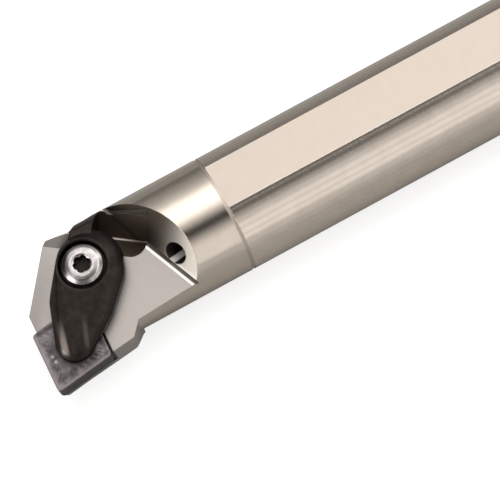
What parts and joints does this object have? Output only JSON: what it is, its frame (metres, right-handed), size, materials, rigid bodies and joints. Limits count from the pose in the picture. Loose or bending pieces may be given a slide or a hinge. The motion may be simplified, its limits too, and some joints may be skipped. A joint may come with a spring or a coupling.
{
  "type": "boring bar",
  "caption": "Round-shank boring bar, right hand, with coolant bore, a slanted rhombic insert, and a black lever clamp drawn down by a socket screw.",
  "frame": {"origin": "centre of the shank's rear end face, on the shank's axis", "axes": "+X along the shank to the cutting corner, +Y to the side that the corner cuts on, +Z out of the upper flat"},
  "size_m": [0.1999, 0.03, 0.025],
  "materials": {
    "bar_steel": "satin nickel-plated, turned and ground",
    "carbide_plain": "ground cemented carbide",
    "carbide_coated": "coated, dark grey-purple, slightly grainy",
    "screw_dark": "black oxide",
    "black_oxide": "black oxide, satin",
    "screw_bright": "bright, polished by wear",
    "spring_steel": "drawn wire"
  },
  "bodies": {
    "bar": {"bar": "bar_steel", "shim": "carbide_plain", "shim_screw": "screw_dark", "insert": "carbide_coated", "clamp_spring": "spring_steel"},
    "clamp": {"clamp": "black_oxide"},
    "clamp_screw": {"clamp_screw": "screw_bright"}
  },
  "joints": [
    {"name": "clamp_lift", "type": "slide", "parent": "bar", "child": "clamp", "axis": [0.0938, 0.2079, 0.9736], "range_m": [0, 0.003], "deforming": ["clamp_spring"]},
    {"name": "screw_turn", "type": "hinge", "parent": "clamp", "child": "clamp_screw", "pos_m": [0.18347, -0.00128, 0.00562], "axis": [0.0938, 0.2079, 0.9736], "range_deg": [0, 1350]}
  ],
  "couplings": [
    {"joint": "screw_turn", "follows": "clamp_lift", "rad_per_m": 7854}
  ]
}
